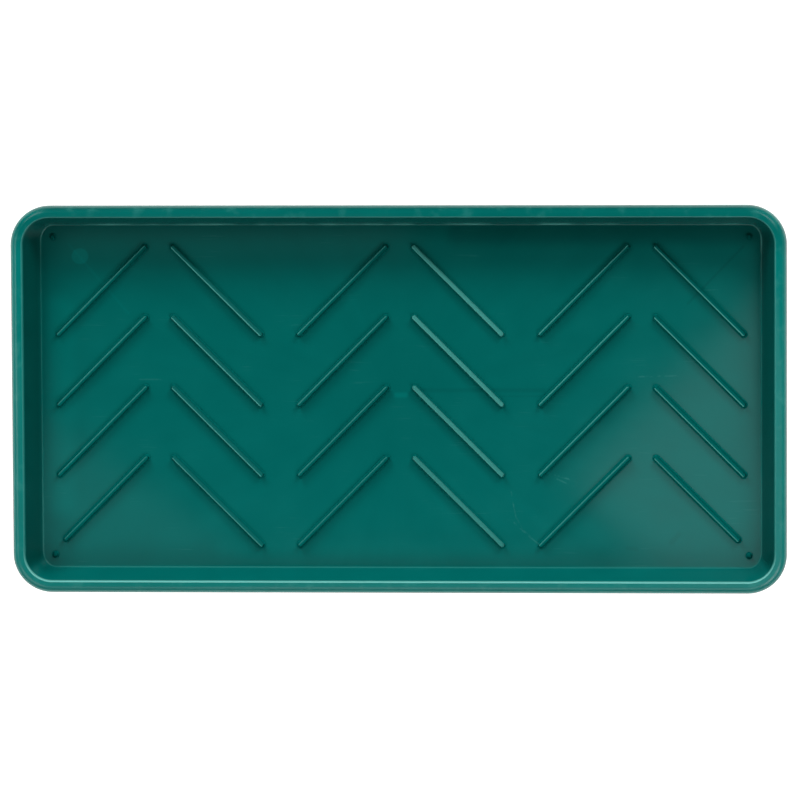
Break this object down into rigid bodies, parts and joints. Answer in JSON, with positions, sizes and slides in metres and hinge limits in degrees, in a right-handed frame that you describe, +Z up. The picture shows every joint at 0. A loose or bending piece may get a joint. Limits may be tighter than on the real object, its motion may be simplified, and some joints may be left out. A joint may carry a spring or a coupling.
{
  "type": "drainage tray",
  "caption": "Shallow rectangular plastic drainage tray with leaning walls, a rolled rim and raised chevron ribs that hold plant pots clear of the water it collects.",
  "frame": {"origin": "on the ground under the middle of the tray", "axes": "+X along the tray's length, +Y the way the chevrons point, +Z up out of the tray"},
  "size_m": [0.79, 0.396, 0.05],
  "materials": {
    "green_polypropylene": "satin, as moulded"
  },
  "bodies": {
    "root": {"tray_shell": "green_polypropylene", "chevron_1_row_1_left_rib": "green_polypropylene", "chevron_1_row_1_right_rib": "green_polypropylene", "chevron_1_row_2_left_rib": "green_polypropylene", "chevron_1_row_2_right_rib": "green_polypropylene", "chevron_1_row_3_left_rib": "green_polypropylene", "chevron_1_row_3_right_rib": "green_polypropylene", "chevron_1_row_4_left_rib": "green_polypropylene", "chevron_1_row_4_right_rib": "green_polypropylene", "chevron_2_row_1_left_rib": "green_polypropylene", "chevron_2_row_1_right_rib": "green_polypropylene", "chevron_2_row_2_left_rib": "green_polypropylene", "chevron_2_row_2_right_rib": "green_polypropylene", "chevron_2_row_3_left_rib": "green_polypropylene", "chevron_2_row_3_right_rib": "green_polypropylene", "chevron_2_row_4_left_rib": "green_polypropylene", "chevron_2_row_4_right_rib": "green_polypropylene", "chevron_3_row_1_left_rib": "green_polypropylene", "chevron_3_row_1_right_rib": "green_polypropylene", "chevron_3_row_2_left_rib": "green_polypropylene", "chevron_3_row_2_right_rib": "green_polypropylene", "chevron_3_row_3_left_rib": "green_polypropylene", "chevron_3_row_3_right_rib": "green_polypropylene", "chevron_3_row_4_left_rib": "green_polypropylene", "chevron_3_row_4_right_rib": "green_polypropylene", "corner_pip_back_left": "green_polypropylene", "corner_pip_back_right": "green_polypropylene", "corner_pip_front_left": "green_polypropylene", "corner_pip_front_right": "green_polypropylene"}
  },
  "joints": []
}
